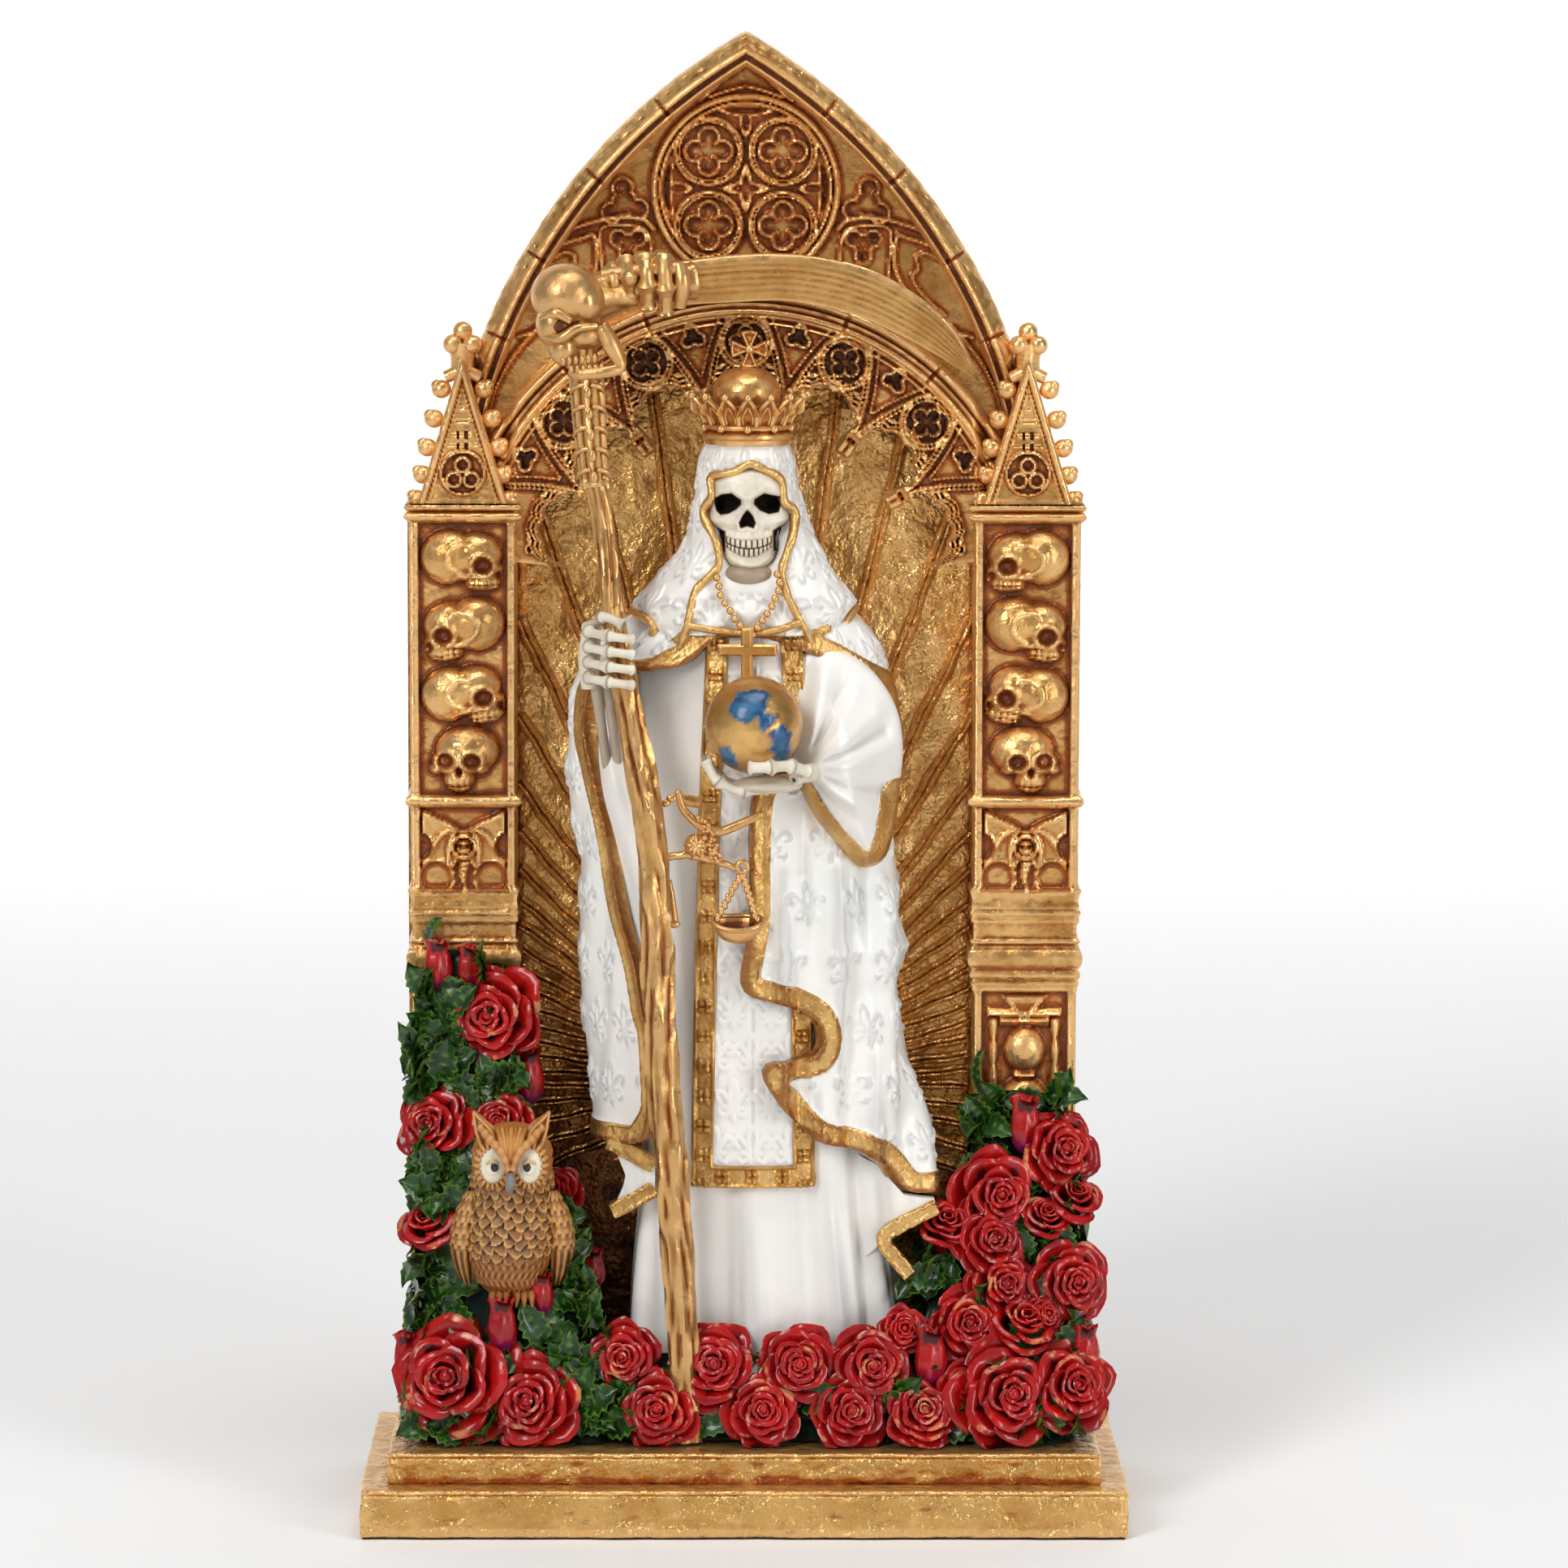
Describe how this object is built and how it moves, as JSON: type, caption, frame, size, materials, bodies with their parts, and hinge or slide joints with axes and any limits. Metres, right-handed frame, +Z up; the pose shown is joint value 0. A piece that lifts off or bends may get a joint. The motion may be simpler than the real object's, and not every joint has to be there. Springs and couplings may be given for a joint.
{
  "type": "santa muerte figure",
  "caption": "Painted cast figure of a crowned skeleton in a white robe with scythe, globe, scales, owl and roses, standing in a gold gothic niche on a stepped plinth.",
  "frame": {"origin": "centre of the plinth's underside", "axes": "+Z up; the figure faces -Y; +X is to the viewer's right when the front is seen, on the side of the raised globe and hanging sleeve"},
  "size_m": [0.154, 0.075, 0.2981],
  "materials": {
    "plinth_gold": "hammered antique gold paint over cast resin, dark brown sides and back",
    "shrine_gold": "antique gold paint over cast resin with copper red in the hollows",
    "white_robe": "pearl white satin paint with gold edges and bone coloured skull and hands",
    "scythe_gold": "antique gold paint with brown in the hollows",
    "globe_gold": "gold sea with blue land, glossy",
    "scales_bronze": "dark bronze paint",
    "owl_brown": "ochre and brown dry-brushed feathers",
    "rose_red": "glossy red roses with gold-brushed petal edges and green leaves"
  },
  "bodies": {
    "root": {"plinth": "plinth_gold", "shrine": "shrine_gold", "figure": "white_robe", "scythe": "scythe_gold", "globe": "globe_gold", "scales": "scales_bronze", "owl": "owl_brown", "roses": "rose_red"}
  },
  "joints": []
}
